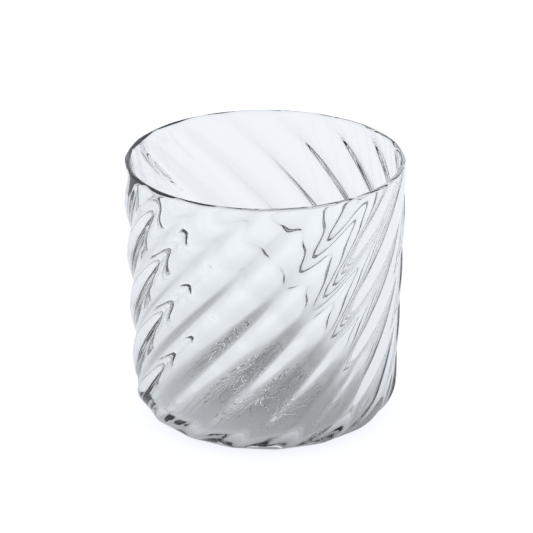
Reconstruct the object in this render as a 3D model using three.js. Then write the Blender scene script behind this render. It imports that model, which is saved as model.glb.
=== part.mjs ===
// A hand-blown glass tumbler whose wall carries twisted optic ribs.
// One solid of revolution in millimetres, standing on z = 0 with its axis on +Z; ribs are then raised on it.
import * as THREE from 'three';

// Body sizes. The wall's diameters lie midway between rib crests and rib valleys.
const HEIGHT = 82.5;
const RIM_DIAMETER = 85;
const BASE_DIAMETER = 80.2; // where the line of the wall would meet the table
const RIM_WALL = 1.6; // the lip is rounded to half of this
const BASE_WALL = 2; // where the line of the wall would meet the table
const HEEL_RADIUS = 10.5; // outside round from the wall to the foot
const INNER_HEEL_RADIUS = 8.5;
const FLOOR_THICKNESS = 2.8; // over the foot ring
const FLOOR_CROWN = 1.6; // rise of the inside floor towards its centre
const FOOT_RING_WIDTH = 6; // flat ring that stands on the table
const PUNT_DEPTH = 1.6; // hollow under the floor, inside the foot ring

// Rib sizes
const RIB_COUNT = 16;
const RIB_DEPTH = 1.65; // crest to valley where the ribs are deepest; the inside is smooth
const RIB_LEAD = 276; // height in which a rib would go once round
const RIB_PHASE_DEGREES = 4; // angle of the first crest at the table, from +X
const RIB_LEAN = 0.02; // shift of each valley off midway between its crests, as a share of the rib spacing
const RIB_SHARPNESS = 0.2; // from 0, crests as round as valleys, to 0.25, the narrowest crests without a dent
const RIM_FADE = 16; // the ribs soften over this height below the rim
const RIM_RIB_SHARE = 0.1; // how much of their depth is left at the rim
const FOOT_FADE = 50; // the ribs soften over this height above the table
const FOOT_RIB_SHARE = 0.5; // how much of their depth would be left at the table

// Facets
const COLUMNS_PER_RIB = 6;
const FLOOR_ROWS = 3;
const HEEL_ROWS = 5;
const WALL_ROWS = 11;
const LIP_ROWS = 3; // on each side of its top

const columns = RIB_COUNT * COLUMNS_PER_RIB;
const outerWall = wallLine(BASE_DIAMETER / 2, RIM_DIAMETER / 2);
const innerWall = wallLine(BASE_DIAMETER / 2 - BASE_WALL, RIM_DIAMETER / 2 - RIM_WALL);
const outerHeel = heelArc(outerWall, 0, HEEL_RADIUS);
const innerHeel = heelArc(innerWall, FLOOR_THICKNESS, INNER_HEEL_RADIUS);

/** The straight side of the section: its radius at the table and its lean from the axis. */
function wallLine(baseRadius, rimRadius) {
  return { baseRadius, lean: Math.atan2(rimRadius - baseRadius, HEIGHT) };
}

/** The quarter round that touches a level floor and a wall line. */
function heelArc(wall, floorHeight, radius) {
  const centreHeight = floorHeight + radius;
  const wallRadius = wall.baseRadius + centreHeight * Math.tan(wall.lean);
  const centre = new THREE.Vector2(wallRadius - radius / Math.cos(wall.lean), centreHeight);
  return { centre, radius };
}

/** The rounded lip: the circle that touches both wall lines and the rim's height. */
function lipArc() {
  const slopes = Math.tan(outerWall.lean) - Math.tan(innerWall.lean);
  const reach = 1 / Math.cos(outerWall.lean) + 1 / Math.cos(innerWall.lean) + slopes;
  const radius = RIM_WALL / reach;
  const height = HEIGHT - radius;
  const wallRadius = outerWall.baseRadius + height * Math.tan(outerWall.lean);
  return { centre: new THREE.Vector2(wallRadius - radius / Math.cos(outerWall.lean), height), radius };
}

/** An arc of the section, angles measured from the outward radial direction. */
function sectionArc({ centre, radius }, fromAngle, toAngle) {
  const clockwise = toAngle < fromAngle;
  return new THREE.EllipseCurve(centre.x, centre.y, radius, radius, fromAngle, toAngle, clockwise);
}

/** The shallow curve of the punt or of the crowned floor, level at the axis. */
function crownCurve(edge, axisHeight) {
  const axisPoint = new THREE.Vector2(0, axisHeight);
  const levelPoint = new THREE.Vector2(edge.x / 2, axisHeight);
  return new THREE.QuadraticBezierCurve(axisPoint, levelPoint, edge);
}

/** The same curve run the other way, from the edge in to the axis. */
function reversed(curve) {
  return new THREE.QuadraticBezierCurve(curve.v2, curve.v1, curve.v0);
}

/** Joins the end of one curve to the start of the next. */
function straight(before, after) {
  return new THREE.LineCurve(before.getPoint(1), after.getPoint(0));
}

/**
 * The section from the axis under the foot, out and up to the lip, and down inside to the axis again.
 * Each stretch says how many rows it is cut into and whether it has ribs.
 */
function sectionStretches() {
  const footOuter = new THREE.Vector2(outerHeel.centre.x, 0);
  const footInner = new THREE.Vector2(footOuter.x - FOOT_RING_WIDTH, 0);
  const floorEdge = new THREE.Vector2(innerHeel.centre.x, FLOOR_THICKNESS);
  const [down, up] = [-Math.PI / 2, Math.PI / 2];
  const punt = crownCurve(footInner, PUNT_DEPTH);
  const foot = new THREE.LineCurve(footInner, footOuter);
  const heel = sectionArc(outerHeel, down, -outerWall.lean);
  const lipOutside = sectionArc(lipArc(), -outerWall.lean, up);
  const lipInside = sectionArc(lipArc(), up, Math.PI - innerWall.lean);
  const insideHeel = sectionArc(innerHeel, -innerWall.lean, down);
  const floor = reversed(crownCurve(floorEdge, FLOOR_THICKNESS + FLOOR_CROWN));
  return [
    { curve: punt, rows: FLOOR_ROWS, ribbed: false },
    { curve: foot, rows: 1, ribbed: false },
    { curve: heel, rows: HEEL_ROWS, ribbed: true },
    { curve: straight(heel, lipOutside), rows: WALL_ROWS, ribbed: true },
    { curve: lipOutside, rows: LIP_ROWS, ribbed: true },
    { curve: lipInside, rows: LIP_ROWS, ribbed: false },
    { curve: straight(lipInside, insideHeel), rows: WALL_ROWS, ribbed: false },
    { curve: insideHeel, rows: HEEL_ROWS, ribbed: false },
    { curve: floor, rows: FLOOR_ROWS, ribbed: false },
  ];
}

/** The share of the rib depth that is left at a height: all of it high on the wall, less at rim and foot. */
function ribShare(height) {
  const nearRim = 1 - THREE.MathUtils.clamp((HEIGHT - height) / RIM_FADE, 0, 1);
  const nearFoot = 1 - THREE.MathUtils.clamp(height / FOOT_FADE, 0, 1);
  return 1 - (1 - RIM_RIB_SHARE) * nearRim ** 2 - (1 - FOOT_RIB_SHARE) * nearFoot ** 2;
}

/** The wave of leaning, narrow-crested ribs: 1 on a crest, -1 in a valley, and one rib to a turn of phase. */
function ribWave(phase) {
  const leaning = phase - Math.PI * RIB_LEAN * (1 - Math.cos(phase));
  return Math.cos(leaning) - RIB_SHARPNESS * (1 - Math.cos(2 * leaning));
}

/** The turn of the rib pattern at a height. */
function ribTurn(height) {
  return THREE.MathUtils.degToRad(RIB_PHASE_DEGREES) + (2 * Math.PI * height) / RIB_LEAD;
}

/**
 * Cuts the section into rows: a point, the height of its rib wave and the turn of the pattern there.
 * A rib swells the glass straight out from the axis as far as the surface faces that way, so the ribs run out
 * by themselves where the heel turns level and on top of the lip.
 */
function sectionRows() {
  const rows = [];
  for (const { curve, rows: count, ribbed } of sectionStretches()) {
    const first = rows.length === 0 ? 0 : 1;
    for (let step = first; step <= count; step += 1) {
      const point = curve.getPoint(step / count);
      const facingOut = curve.getTangent(step / count).y;
      const swell = ribbed ? (RIB_DEPTH / 2) * facingOut ** 2 * ribShare(point.y) : 0;
      rows.push({ point, swell, turn: ribTurn(point.y) });
    }
  }
  return rows;
}

/** One ring of points around the axis, with its wave of ribs. */
function ringPoints({ point, swell, turn }) {
  const ring = [];
  for (let column = 0; column < columns; column += 1) {
    const radius = point.x + swell * ribWave((2 * Math.PI * column) / COLUMNS_PER_RIB);
    const angle = turn + (2 * Math.PI * column) / columns;
    ring.push(radius * Math.cos(angle), radius * Math.sin(angle), point.y);
  }
  return ring;
}

/** The faces between two rings, split along the diagonal that crosses a rib the least. */
function bandFaces(lower, upper, rising) {
  const faces = [];
  for (let column = 0; column < columns; column += 1) {
    const next = (column + 1) % columns;
    const [a, b, c, d] = [lower + column, lower + next, upper + next, upper + column];
    faces.push(...(rising ? [a, b, d, b, c, d] : [a, b, c, a, c, d]));
  }
  return faces;
}

/** The fan of faces between a ring and the point on the axis that it closes to. */
function fanFaces(axisPoint, ring, opening) {
  const faces = [];
  for (let column = 0; column < columns; column += 1) {
    const next = (column + 1) % columns;
    faces.push(axisPoint, ring + (opening ? next : column), ring + (opening ? column : next));
  }
  return faces;
}

/** The closed tumbler: the section's rows as rings, and a point on the axis at each end. */
function tumblerGeometry() {
  const rows = sectionRows();
  const start = rows.shift();
  const end = rows.pop();
  const positions = rows.flatMap(ringPoints);
  positions.push(0, 0, start.point.y, 0, 0, end.point.y);
  const startPoint = rows.length * columns;
  const endPoint = startPoint + 1;
  const faces = fanFaces(startPoint, 0, true);
  for (let row = 0; row + 1 < rows.length; row += 1) {
    faces.push(...bandFaces(row * columns, (row + 1) * columns, rows[row + 1].turn >= rows[row].turn));
  }
  faces.push(...fanFaces(endPoint, (rows.length - 1) * columns, false));
  const geometry = new THREE.BufferGeometry();
  geometry.setAttribute('position', new THREE.Float32BufferAttribute(positions, 3));
  geometry.setIndex(faces);
  geometry.computeVertexNormals();
  return geometry;
}

const clearGlass = new THREE.MeshStandardMaterial({
  color: '#e6ebf0',
  roughness: 0.04,
  metalness: 0,
  transparent: true,
  opacity: 0.35,
});

const tumbler = new THREE.Mesh(tumblerGeometry(), clearGlass);
tumbler.name = 'tumbler';

const cup = new THREE.Group();
cup.add(tumbler);

export default cup;
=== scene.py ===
"""A blown-glass tumbler with twisted ribs, shaped in the order its maker works, on a white table."""

import logging
import math
from dataclasses import dataclass, field
from enum import Enum
from typing import Any

import bpy
import numpy as np
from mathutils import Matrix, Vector


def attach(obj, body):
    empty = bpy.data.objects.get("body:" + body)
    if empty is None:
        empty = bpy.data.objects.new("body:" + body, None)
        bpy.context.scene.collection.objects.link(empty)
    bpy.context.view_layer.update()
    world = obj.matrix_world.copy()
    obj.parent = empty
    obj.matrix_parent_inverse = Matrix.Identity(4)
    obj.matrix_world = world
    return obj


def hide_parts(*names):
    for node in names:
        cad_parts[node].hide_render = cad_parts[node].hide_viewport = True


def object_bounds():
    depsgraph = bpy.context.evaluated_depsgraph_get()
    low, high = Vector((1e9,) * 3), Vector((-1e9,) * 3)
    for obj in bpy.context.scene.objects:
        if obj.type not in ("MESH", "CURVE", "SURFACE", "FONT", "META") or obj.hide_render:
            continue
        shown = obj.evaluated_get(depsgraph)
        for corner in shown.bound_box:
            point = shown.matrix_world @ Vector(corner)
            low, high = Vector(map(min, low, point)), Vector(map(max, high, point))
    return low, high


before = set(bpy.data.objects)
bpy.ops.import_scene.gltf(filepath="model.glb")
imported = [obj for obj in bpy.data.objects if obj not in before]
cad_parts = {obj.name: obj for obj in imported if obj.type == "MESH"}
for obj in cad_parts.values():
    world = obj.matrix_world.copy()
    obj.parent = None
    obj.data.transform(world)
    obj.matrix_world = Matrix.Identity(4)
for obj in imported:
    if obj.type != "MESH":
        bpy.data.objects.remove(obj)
cad_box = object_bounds()

MM = 0.001
FULL_TURN = 2 * math.pi
LOG = logging.getLogger("tumbler")


def linear(hex_colour: str) -> tuple[float, float, float, float]:
    """Turns an sRGB hex colour into the linear colour that a shader takes.

    Args:
        hex_colour: Six hex digits after a hash sign.

    Returns:
        Linear red, green and blue, and an alpha of 1.
    """
    shares = [int(hex_colour[start:start + 2], 16) / 255 for start in (1, 3, 5)]
    red, green, blue = (
        share / 12.92 if share <= 0.04045 else ((share + 0.055) / 1.055) ** 2.4 for share in shares
    )
    return red, green, blue, 1.0


def add_node(
    tree: bpy.types.NodeTree, kind: str, settings: dict[str, Any], inputs: dict[Any, Any]
) -> bpy.types.Node:
    """Adds a shader node with its settings and links.

    Args:
        tree: The node tree that gets the node.
        kind: The node's type name.
        settings: Node properties to set, by name.
        inputs: Values, or output sockets to link, by the input's name or number.

    Returns:
        The new node.
    """
    node = tree.nodes.new(kind)
    for name, value in settings.items():
        setattr(node, name, value)
    for name, value in inputs.items():
        if isinstance(value, bpy.types.NodeSocket):
            tree.links.new(value, node.inputs[name])
        else:
            node.inputs[name].default_value = value
    return node


def empty_material(name: str) -> tuple[bpy.types.Material, bpy.types.NodeTree, bpy.types.Node]:
    """Makes a material with nothing in it but its output.

    Args:
        name: The material's name.

    Returns:
        The material, its node tree and its output node.
    """
    material = bpy.data.materials.new(name)
    material.use_nodes = True
    material.node_tree.nodes.clear()
    output = add_node(material.node_tree, "ShaderNodeOutputMaterial", {}, {})
    return material, material.node_tree, output


def apply_modifier(piece: bpy.types.Object, name: str, kind: str, settings: dict[str, Any]) -> None:
    """Puts a modifier on a piece and applies it at once.

    Args:
        piece: The piece, which becomes the active object.
        name: The modifier's name.
        kind: The modifier's type.
        settings: Modifier properties to set, by name.
    """
    modifier = piece.modifiers.new(name, kind)
    for key, value in settings.items():
        setattr(modifier, key, value)
    bpy.context.view_layer.objects.active = piece
    bpy.ops.object.modifier_apply(modifier=name)


def smooth_step(low: float, high: float, value: np.ndarray) -> np.ndarray:
    """Rises smoothly from 0 at low to 1 at high.

    Args:
        low: Where the rise starts.
        high: Where the rise ends.
        value: The values to place on the rise.

    Returns:
        A share from 0 to 1 for each value.
    """
    share = np.clip((value - low) / (high - low), 0.0, 1.0)
    return share * share * (3 - 2 * share)


class Side(Enum):
    """The side of the glass that a stretch of the section belongs to."""

    FOOT = "foot"
    OUTSIDE = "outside"
    INSIDE = "inside"


@dataclass(frozen=True)
class BlownGlass:
    """Soda-lime glass, blown and fire-polished: colourless, with a smooth skin that is never quite even.

    It gives the eye clear, bending views through the wall, dark lines where the glass turns away, and
    faint drawn-out streaks along the ribs from twisting the hot glass.
    """

    name: str = "blown_soda_lime_glass"
    surface_tint: str = "#fcfefd"
    body_tint: str = "#d3dcda"
    absorption_density: float = 6.0
    refractive_index: float = 1.51
    roughness: float = 0.0
    streak_width: float = 1.4 * MM
    streak_length: float = 26 * MM
    streak_depth: float = 0.003 * MM
    streak_detail: float = 2.0

    def material(self, rib_lead: float) -> bpy.types.Material:
        """Builds the glass.

        Args:
            rib_lead: The height in which a rib goes once round, which the streaks follow.

        Returns:
            The material.
        """
        material, tree, output = empty_material(self.name)
        place = add_node(tree, "ShaderNodeTexCoord", {}, {}).outputs["Object"]
        height = add_node(tree, "ShaderNodeSeparateXYZ", {}, {"Vector": place}).outputs["Z"]
        untwist = add_node(
            tree, "ShaderNodeMath", {"operation": "MULTIPLY"}, {0: height, 1: -FULL_TURN / rib_lead}
        )
        along_ribs = add_node(
            tree,
            "ShaderNodeVectorRotate",
            {"rotation_type": "Z_AXIS"},
            {"Vector": place, "Angle": untwist.outputs[0]},
        )
        streak_place = add_node(
            tree,
            "ShaderNodeMapping",
            {},
            {
                "Vector": along_ribs.outputs[0],
                "Scale": (1 / self.streak_width, 1 / self.streak_width, 1 / self.streak_length),
            },
        )
        streaks = add_node(
            tree,
            "ShaderNodeTexNoise",
            {},
            {"Vector": streak_place.outputs[0], "Scale": 1.0, "Detail": self.streak_detail},
        )
        skin = add_node(
            tree,
            "ShaderNodeBump",
            {},
            {"Strength": 1.0, "Distance": self.streak_depth, "Height": streaks.outputs["Fac"]},
        )
        surface = add_node(
            tree,
            "ShaderNodeBsdfPrincipled",
            {},
            {
                "Base Color": linear(self.surface_tint),
                "Transmission Weight": 1.0,
                "IOR": self.refractive_index,
                "Roughness": self.roughness,
                "Normal": skin.outputs["Normal"],
            },
        )
        body = add_node(
            tree,
            "ShaderNodeVolumeAbsorption",
            {},
            {"Color": linear(self.body_tint), "Density": self.absorption_density},
        )
        tree.links.new(surface.outputs[0], output.inputs["Surface"])
        tree.links.new(body.outputs[0], output.inputs["Volume"])
        return material


@dataclass
class SectionPoint:
    """A point of the tumbler's section: distance from the axis, height, and the side that it belongs to."""

    radius: float
    height: float
    side: Side


@dataclass
class Tumbler:
    """The tumbler, one piece of glass: its section is spun, ribbed and twisted, and left slightly uneven."""

    glass: BlownGlass = field(default_factory=BlownGlass)
    height: float = 82.5 * MM
    rim_radius: float = 42.5 * MM
    base_radius: float = 40.1 * MM  # where the line of the wall would meet the table
    rim_wall: float = 1.6 * MM
    base_wall: float = 2 * MM  # where the line of the wall would meet the table
    heel_radius: float = 10.5 * MM
    inner_heel_radius: float = 8.5 * MM
    floor_thickness: float = 2.8 * MM  # over the foot ring
    floor_crown: float = 1.6 * MM  # rise of the inside floor towards its centre
    foot_ring_width: float = 6 * MM
    punt_depth: float = 1.6 * MM  # hollow under the floor, inside the foot ring
    rib_count: int = 16
    rib_depth: float = 1.65 * MM  # crest to valley where the ribs are deepest
    rib_lead: float = 276 * MM  # height in which a rib would go once round
    rib_phase: float = math.radians(4)  # angle of the first crest at the table
    rib_lean: float = 0.02  # shift of each valley off midway, as a share of the rib spacing
    rib_sharpness: float = 0.2  # from 0, crests as round as valleys, to 0.25, the narrowest
    rim_fade: float = 16 * MM
    rim_rib_share: float = 0.1  # how much of their depth is left at the rim
    foot_fade: float = 50 * MM
    foot_rib_share: float = 0.5  # how much of their depth would be left at the table
    swirl_depth: float = 1 * MM
    swirl_turn: float = 0.8  # angle that a rib turns on its way in from the foot ring, in radians
    swirl_fade: float = 7 * MM  # the swirl softens over this width at the foot ring and at the axis
    columns_per_rib: int = 16
    wall_step: float = 1.25 * MM
    heel_step: float = 0.9 * MM
    lip_step: float = 0.25 * MM
    floor_step: float = 1 * MM
    weld_distance: float = 0.005 * MM
    unevenness: float = 0.1 * MM
    unevenness_width: float = 9 * MM
    unevenness_detail: int = 1
    still_height: float = 1 * MM  # the foot is left flat up to this height

    def lean(self, inset_base: float, inset_rim: float) -> float:
        """Gives the lean of a wall line that lies inside the outer one by these insets."""
        return math.atan2(self.rim_radius - inset_rim - self.base_radius + inset_base, self.height)

    def heel(self, base_radius: float, lean: float, floor: float, radius: float) -> tuple[float, float]:
        """Gives the centre of the round that touches a floor and a wall line.

        Args:
            base_radius: The wall line's radius at the table.
            lean: The wall line's lean.
            floor: The floor's height.
            radius: The round's radius.

        Returns:
            The centre's distance from the axis and its height.
        """
        centre_height = floor + radius
        return base_radius + centre_height * math.tan(lean) - radius / math.cos(lean), centre_height

    def outer_heel(self) -> tuple[float, float]:
        """Gives the centre of the outside heel, which stands over the outer edge of the foot ring."""
        return self.heel(self.base_radius, self.lean(0, 0), 0, self.heel_radius)

    def arc(
        self, centre: tuple[float, float], radius: float, start: float, end: float, step: float, side: Side
    ) -> list[SectionPoint]:
        """Draws a round stretch of the section, without its first point.

        Args:
            centre: The round's centre, as a distance from the axis and a height.
            radius: The round's radius.
            start: The angle that it starts at, from straight out.
            end: The angle that it ends at.
            step: The longest step along it.
            side: The side of the glass.

        Returns:
            Its points in order.
        """
        count = math.ceil(abs(end - start) * radius / step)
        angles = [start + (end - start) * index / count for index in range(1, count + 1)]
        return [
            SectionPoint(centre[0] + radius * math.cos(angle), centre[1] + radius * math.sin(angle), side)
            for angle in angles
        ]

    def line(
        self, start: SectionPoint, end: SectionPoint, step: float, sag: float = 0.0
    ) -> list[SectionPoint]:
        """Draws a straight or slightly domed stretch of the section, without its first point.

        Args:
            start: The point before it.
            end: Its last point.
            step: The longest step along it.
            sag: How far its middle lies above the straight line, for a dome that is level at the axis.

        Returns:
            Its points in order.
        """
        length = math.hypot(end.radius - start.radius, end.height - start.height)
        count = math.ceil(length / step)
        shares = [index / count for index in range(1, count + 1)]
        return [
            SectionPoint(
                start.radius + (end.radius - start.radius) * share,
                start.height + (end.height - start.height) * share + 4 * sag * share * (1 - share),
                end.side,
            )
            for share in shares
        ]

    def middle_section(self) -> list[SectionPoint]:
        """Draws the section midway between rib crests and valleys, from the axis below to the axis inside.

        Returns:
            The points in order.
        """
        down, up = -math.pi / 2, math.pi / 2
        lean_out = self.lean(0, 0)
        lean_in = self.lean(self.base_wall, self.rim_wall)
        heel_out = self.outer_heel()
        heel_in = self.heel(
            self.base_radius - self.base_wall, lean_in, self.floor_thickness, self.inner_heel_radius
        )
        spread = 1 / math.cos(lean_out) + 1 / math.cos(lean_in) + math.tan(lean_out) - math.tan(lean_in)
        lip_radius = self.rim_wall / spread
        lip_height = self.height - lip_radius
        lip = (
            self.base_radius + lip_height * math.tan(lean_out) - lip_radius / math.cos(lean_out),
            lip_height,
        )
        # A quarter of the rise as sag makes the hollow and the crown level at the axis
        dome = self.punt_depth / 4
        crown = self.floor_crown / 4
        points = [SectionPoint(0.0, self.punt_depth, Side.FOOT)]
        ring_inner = SectionPoint(heel_out[0] - self.foot_ring_width, 0.0, Side.FOOT)
        points += self.line(points[-1], ring_inner, self.floor_step, dome)
        points += self.line(points[-1], SectionPoint(heel_out[0], 0.0, Side.FOOT), self.floor_step)
        points += self.arc(heel_out, self.heel_radius, down, -lean_out, self.heel_step, Side.OUTSIDE)
        lip_outside = self.arc(lip, lip_radius, -lean_out, up, self.lip_step, Side.OUTSIDE)
        lip_start = SectionPoint(
            lip[0] + lip_radius * math.cos(lean_out), lip[1] - lip_radius * math.sin(lean_out), Side.OUTSIDE
        )
        points += self.line(points[-1], lip_start, self.wall_step)
        points += lip_outside
        points += self.arc(lip, lip_radius, up, math.pi - lean_in, self.lip_step, Side.INSIDE)
        heel_start = SectionPoint(
            heel_in[0] + self.inner_heel_radius * math.cos(lean_in),
            heel_in[1] - self.inner_heel_radius * math.sin(lean_in),
            Side.INSIDE,
        )
        points += self.line(points[-1], heel_start, self.wall_step)
        points += self.arc(heel_in, self.inner_heel_radius, -lean_in, down, self.heel_step, Side.INSIDE)
        floor_centre = SectionPoint(0.0, self.floor_thickness + self.floor_crown, Side.FOOT)
        points += self.line(points[-1], floor_centre, self.floor_step, crown)
        return points

    def rib_share(self, height: np.ndarray) -> np.ndarray:
        """Gives the share of the rib depth that is left at a height: less towards the rim and the foot.

        Args:
            height: Heights above the table.

        Returns:
            A share from 0 to 1 for each height.
        """
        near_rim = 1 - np.clip((self.height - height) / self.rim_fade, 0.0, 1.0)
        near_foot = 1 - np.clip(height / self.foot_fade, 0.0, 1.0)
        return 1 - (1 - self.rim_rib_share) * near_rim ** 2 - (1 - self.foot_rib_share) * near_foot ** 2

    def rib_wave(self, phase: np.ndarray) -> np.ndarray:
        """Gives the wave of ribs, which lean a little to one side and have narrow crests.

        Args:
            phase: The place across the ribs, one rib to a full turn.

        Returns:
            1 on a crest, down to -1 in a valley.
        """
        leaning = phase - math.pi * self.rib_lean * (1 - np.cos(phase))
        return np.cos(leaning) - self.rib_sharpness * (1 - np.cos(2 * leaning))

    def valley_section(self) -> np.ndarray:
        """Draws the section between the ribs, where the glass is thinnest.

        Returns:
            One row for each point: distance from the axis and height.
        """
        points = self.middle_section()
        section = np.array([(point.radius, point.height) for point in points])
        depths = np.array([self.rib_depth if point.side is Side.OUTSIDE else 0.0 for point in points])
        tangent = np.gradient(section, axis=0)
        tangent /= np.linalg.norm(tangent, axis=1, keepdims=True)
        way_out = np.stack([tangent[:, 1], -tangent[:, 0]], axis=1)
        swell = depths / 2 * way_out[:, 0] ** 2 * self.rib_share(section[:, 1])
        return section - way_out * swell[:, None]

    def draw_section(self) -> bpy.types.Object:
        """Draws the section as a chain of edges, extruded point by point from the axis.

        Returns:
            The new piece, holding the chain.
        """
        bpy.ops.object.select_all(action="DESELECT")
        bpy.ops.mesh.primitive_plane_add(size=self.foot_ring_width)
        piece = bpy.context.object
        piece.name = piece.data.name = "blown_tumbler"
        bpy.ops.object.mode_set(mode="EDIT")
        bpy.ops.mesh.select_all(action="SELECT")
        bpy.ops.mesh.merge(type="CENTER")
        pen = Vector()
        for index, (radius, height) in enumerate(self.valley_section()):
            stroke = Vector((radius, 0.0, height)) - pen
            pen += stroke
            if index == 0:
                bpy.ops.transform.translate(value=stroke)
            else:
                bpy.ops.mesh.extrude_region_move(TRANSFORM_OT_translate={"value": stroke})
        return piece

    def spin_section(self) -> None:
        """Spins the section once round the axis, and welds the seam and the two poles."""
        bpy.ops.mesh.select_all(action="SELECT")
        columns = self.rib_count * self.columns_per_rib
        bpy.ops.mesh.spin(steps=columns, angle=FULL_TURN, center=(0, 0, 0), axis=(0, 0, 1))
        bpy.ops.mesh.select_all(action="SELECT")
        bpy.ops.mesh.remove_doubles(threshold=self.weld_distance)
        bpy.ops.mesh.normals_make_consistent(inside=False)
        bpy.ops.object.mode_set(mode="OBJECT")

    def weigh(self, piece: bpy.types.Object, name: str, weights: np.ndarray) -> None:
        """Gives every vertex its weight in a new vertex group.

        Args:
            piece: The piece that gets the group.
            name: The group's name.
            weights: One weight for each vertex.
        """
        group = piece.vertex_groups.new(name=name)
        for index, weight in enumerate(weights.tolist()):
            group.add([index], weight, "REPLACE")

    def read_mesh(self, piece: bpy.types.Object) -> tuple[np.ndarray, np.ndarray]:
        """Reads where a piece's vertices are and which way they face.

        Args:
            piece: The piece.

        Returns:
            Positions and normals, one row for each vertex.
        """
        mesh = piece.data
        places = np.empty(len(mesh.vertices) * 3)
        normals = np.empty(len(mesh.vertices) * 3)
        mesh.vertices.foreach_get("co", places)
        mesh.vertices.foreach_get("normal", normals)
        return places.reshape(-1, 3), normals.reshape(-1, 3)

    def raise_ribs(self, piece: bpy.types.Object) -> None:
        """Raises straight ribs on the outside of the wall.

        Args:
            piece: The spun tumbler.
        """
        places, normals = self.read_mesh(piece)
        angle = np.arctan2(places[:, 1], places[:, 0])
        facing = normals[:, 0] * np.cos(angle) + normals[:, 1] * np.sin(angle)
        wave = self.rib_wave(self.rib_count * (angle - self.rib_phase))
        weights = (1 + wave) / 2 * np.maximum(facing, 0.0) ** 2 * self.rib_share(places[:, 2])
        self.weigh(piece, "ribs", weights)
        apply_modifier(
            piece,
            "ribs",
            "DISPLACE",
            {"vertex_group": "ribs", "strength": self.rib_depth, "mid_level": 0.0},
        )

    def swirl_base(self, piece: bpy.types.Object) -> None:
        """Runs the ribs on under the base, where they swirl towards the axis in the hollow.

        Args:
            piece: The spun tumbler.
        """
        places, normals = self.read_mesh(piece)
        angle = np.arctan2(places[:, 1], places[:, 0])
        radius = np.hypot(places[:, 0], places[:, 1])
        hollow_radius = self.outer_heel()[0] - self.foot_ring_width
        swirl = self.swirl_turn * (1 - radius / hollow_radius)
        wave = self.rib_wave(self.rib_count * (angle - self.rib_phase + swirl))
        near_axis = smooth_step(0.0, self.swirl_fade, radius)
        near_foot = smooth_step(0.0, self.swirl_fade, hollow_radius - radius)
        facing_down = np.maximum(-normals[:, 2], 0.0) ** 2
        self.weigh(piece, "swirl", (1 - wave) / 2 * near_axis * near_foot * facing_down)
        apply_modifier(
            piece,
            "swirl",
            "DISPLACE",
            {"vertex_group": "swirl", "direction": "Z", "strength": self.swirl_depth, "mid_level": 0.0},
        )

    def twist_ribs(self, piece: bpy.types.Object) -> None:
        """Twists the hot glass, so that the straight ribs climb round the wall."""
        turn = FULL_TURN * self.height / self.rib_lead
        apply_modifier(
            piece, "twist", "SIMPLE_DEFORM", {"deform_method": "TWIST", "deform_axis": "Z", "angle": turn}
        )

    def leave_hand_marks(self, piece: bpy.types.Object) -> None:
        """Thins the glass unevenly, as hand work does, and leaves the foot flat.

        Args:
            piece: The twisted tumbler.
        """
        places, _ = self.read_mesh(piece)
        self.weigh(piece, "hand_marks", smooth_step(self.still_height, self.heel_radius, places[:, 2]))
        clouds = bpy.data.textures.new("hand_marks", "CLOUDS")
        clouds.noise_scale = self.unevenness_width
        clouds.noise_depth = self.unevenness_detail
        apply_modifier(
            piece,
            "hand_marks",
            "DISPLACE",
            {
                "vertex_group": "hand_marks",
                "texture": clouds,
                "texture_coords": "LOCAL",
                "strength": self.unevenness,
                "mid_level": 1.0,
            },
        )

    def build(self) -> bpy.types.Object:
        """Makes the tumbler and puts it in the place of its solid.

        Returns:
            The finished piece.
        """
        piece = self.draw_section()
        self.spin_section()
        self.raise_ribs(piece)
        self.swirl_base(piece)
        self.twist_ribs(piece)
        self.leave_hand_marks(piece)
        bpy.ops.object.shade_smooth()
        piece.vertex_groups.clear()
        piece.data.materials.append(self.glass.material(self.rib_lead))
        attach(piece, "root")
        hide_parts("tumbler")
        LOG.info("%s: %d faces", piece.name, len(piece.data.polygons))
        return piece


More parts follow.
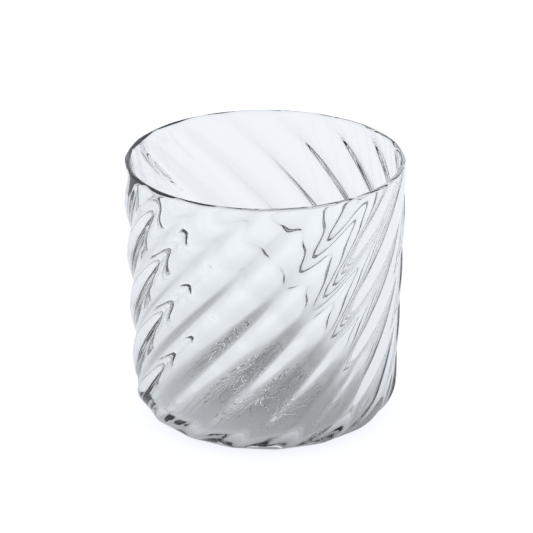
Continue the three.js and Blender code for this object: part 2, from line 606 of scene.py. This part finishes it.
@dataclass(frozen=True)
class WhitePaper:
    """Matt white paper under the tumbler: white to the eye, and shaded under the glass when seen through it.

    The ribs draw the soft round shade out into the grey tongues low on the front wall.
    """

    name: str = "matt_white_paper"
    colour: str = "#fbfbfb"
    glow: str = "#f5f7fe"
    light_to_eye: float = 0.95
    light_to_glass: float = 0.68
    light_under_glass: float = 0.19
    shade_centre: tuple[float, float, float] = (6.7 * MM, -4.3 * MM, 0.0)
    shade_radius: float = 64 * MM
    backdrop_rise: float = 0.08
    backdrop_reach: float = 300 * MM

    def fade(
        self,
        tree: bpy.types.NodeTree,
        distance: bpy.types.NodeSocket,
        reach: float,
        near: float,
        far: float,
    ) -> bpy.types.NodeSocket:
        """Goes smoothly from one level to another with distance.

        Args:
            tree: The paper's node tree.
            distance: The distance.
            reach: Where the far level is reached.
            near: The level at no distance.
            far: The level beyond the reach.

        Returns:
            The level.
        """
        node = add_node(
            tree,
            "ShaderNodeMapRange",
            {"interpolation_type": "SMOOTHSTEP"},
            {"Value": distance, "From Max": reach, "To Min": near, "To Max": far},
        )
        return node.outputs[0]

    def add_times(
        self, tree: bpy.types.NodeTree, first: Any, second: Any, base: Any
    ) -> bpy.types.NodeSocket:
        """Gives the product of two levels, added to a base level."""
        inputs = {0: first, 1: second, 2: base}
        return add_node(tree, "ShaderNodeMath", {"operation": "MULTIPLY_ADD"}, inputs).outputs[0]

    def light_seen_through_glass(self, tree: bpy.types.NodeTree) -> bpy.types.NodeSocket:
        """Works out how bright the paper is through the glass: a soft shade, and a slow rise beyond it.

        Args:
            tree: The paper's node tree.

        Returns:
            The light's strength.
        """
        place = add_node(tree, "ShaderNodeTexCoord", {}, {}).outputs["Object"]
        distance = add_node(
            tree, "ShaderNodeVectorMath", {"operation": "DISTANCE"}, {0: place, 1: self.shade_centre}
        ).outputs["Value"]
        shade = self.fade(tree, distance, self.shade_radius, self.light_under_glass, self.light_to_glass)
        rise = self.fade(tree, distance, self.backdrop_reach, 0.0, self.backdrop_rise)
        return self.add_times(tree, rise, 1.0, shade)

    def material(self) -> bpy.types.Material:
        """Builds the paper.

        Returns:
            The material.
        """
        material, tree, output = empty_material(self.name)
        paper = add_node(tree, "ShaderNodeBsdfDiffuse", {}, {"Color": linear(self.colour)})
        path = add_node(tree, "ShaderNodeLightPath", {}, {}).outputs
        in_glass = add_node(
            tree,
            "ShaderNodeMath",
            {"operation": "MAXIMUM"},
            {0: path["Is Glossy Ray"], 1: path["Is Transmission Ray"]},
        )
        to_glass = self.add_times(tree, in_glass.outputs[0], self.light_seen_through_glass(tree), 0.0)
        strength = self.add_times(tree, path["Is Camera Ray"], self.light_to_eye, to_glass)
        glow = add_node(
            tree, "ShaderNodeEmission", {}, {"Color": linear(self.glow), "Strength": strength}
        )
        both = add_node(tree, "ShaderNodeAddShader", {}, {0: paper.outputs[0], 1: glow.outputs[0]})
        tree.links.new(both.outputs[0], output.inputs["Surface"])
        return material


@dataclass
class Studio:
    """The white table, the pale surroundings, the camera and how far light is followed in the glass."""

    table_radius: float = 0.9
    table_sides: int = 96
    surroundings: str = "#f5f7fe"
    brightness_seen: float = 1.0
    brightness_on_table: float = 0.25
    bounces_followed: int = 8
    camera_elevation: float = math.radians(23.49)
    camera_distance: float = 893 * MM
    lens: float = 195.7
    aim: tuple[float, float, float] = (0.41 * MM, 0.0, 46.5 * MM)

    def lay_table(self) -> None:
        """Lays the round white table."""
        bpy.ops.object.select_all(action="DESELECT")
        bpy.ops.mesh.primitive_circle_add(
            vertices=self.table_sides, radius=self.table_radius, fill_type="NGON"
        )
        table = bpy.context.object
        table.name = "table"
        table.data.materials.append(WhitePaper().material())
        LOG.info("table laid")

    def light(self) -> None:
        """Surrounds the table with even pale light, brighter to look at than what it sheds on the paper."""
        world = bpy.data.worlds.new("pale_surroundings")
        bpy.context.scene.world = world
        world.use_nodes = True
        tree = world.node_tree
        path = add_node(tree, "ShaderNodeLightPath", {}, {})
        strength = add_node(
            tree,
            "ShaderNodeMapRange",
            {},
            {
                "Value": path.outputs["Is Diffuse Ray"],
                "To Min": self.brightness_seen,
                "To Max": self.brightness_on_table,
            },
        )
        background = tree.nodes["Background"]
        background.inputs["Color"].default_value = linear(self.surroundings)
        tree.links.new(strength.outputs[0], background.inputs["Strength"])

    def follow_light(self) -> None:
        """Follows light only so far in the glass, so that its long ways round stay dark lines."""
        paths = bpy.context.scene.cycles
        paths.max_bounces = self.bounces_followed
        paths.transmission_bounces = self.bounces_followed
        paths.glossy_bounces = self.bounces_followed
        paths.caustics_reflective = False
        paths.caustics_refractive = False

    def place_camera(self) -> None:
        """Stands the camera where the photo was taken from."""
        data = bpy.data.cameras.new("camera")
        data.lens = self.lens
        camera = bpy.data.objects.new("camera", data)
        bpy.context.collection.objects.link(camera)
        way_back = Vector((0, -math.cos(self.camera_elevation), math.sin(self.camera_elevation)))
        centre = Vector((0, 0, sum(corner.z for corner in cad_box) / 2))
        camera.location = centre + way_back * self.camera_distance
        camera.rotation_mode = "QUATERNION"
        camera.rotation_quaternion = (Vector(self.aim) - camera.location).to_track_quat("-Z", "Y")
        bpy.context.scene.camera = camera


def main() -> None:
    """Builds the tumbler and the studio in order."""
    logging.basicConfig(level=logging.INFO, format="%(name)s: %(message)s")
    Tumbler().build()
    studio = Studio()
    studio.lay_table()
    studio.light()
    studio.follow_light()
    studio.place_camera()
    bpy.context.scene.view_settings.view_transform = "Standard"


if __name__ == "__main__":
    main()
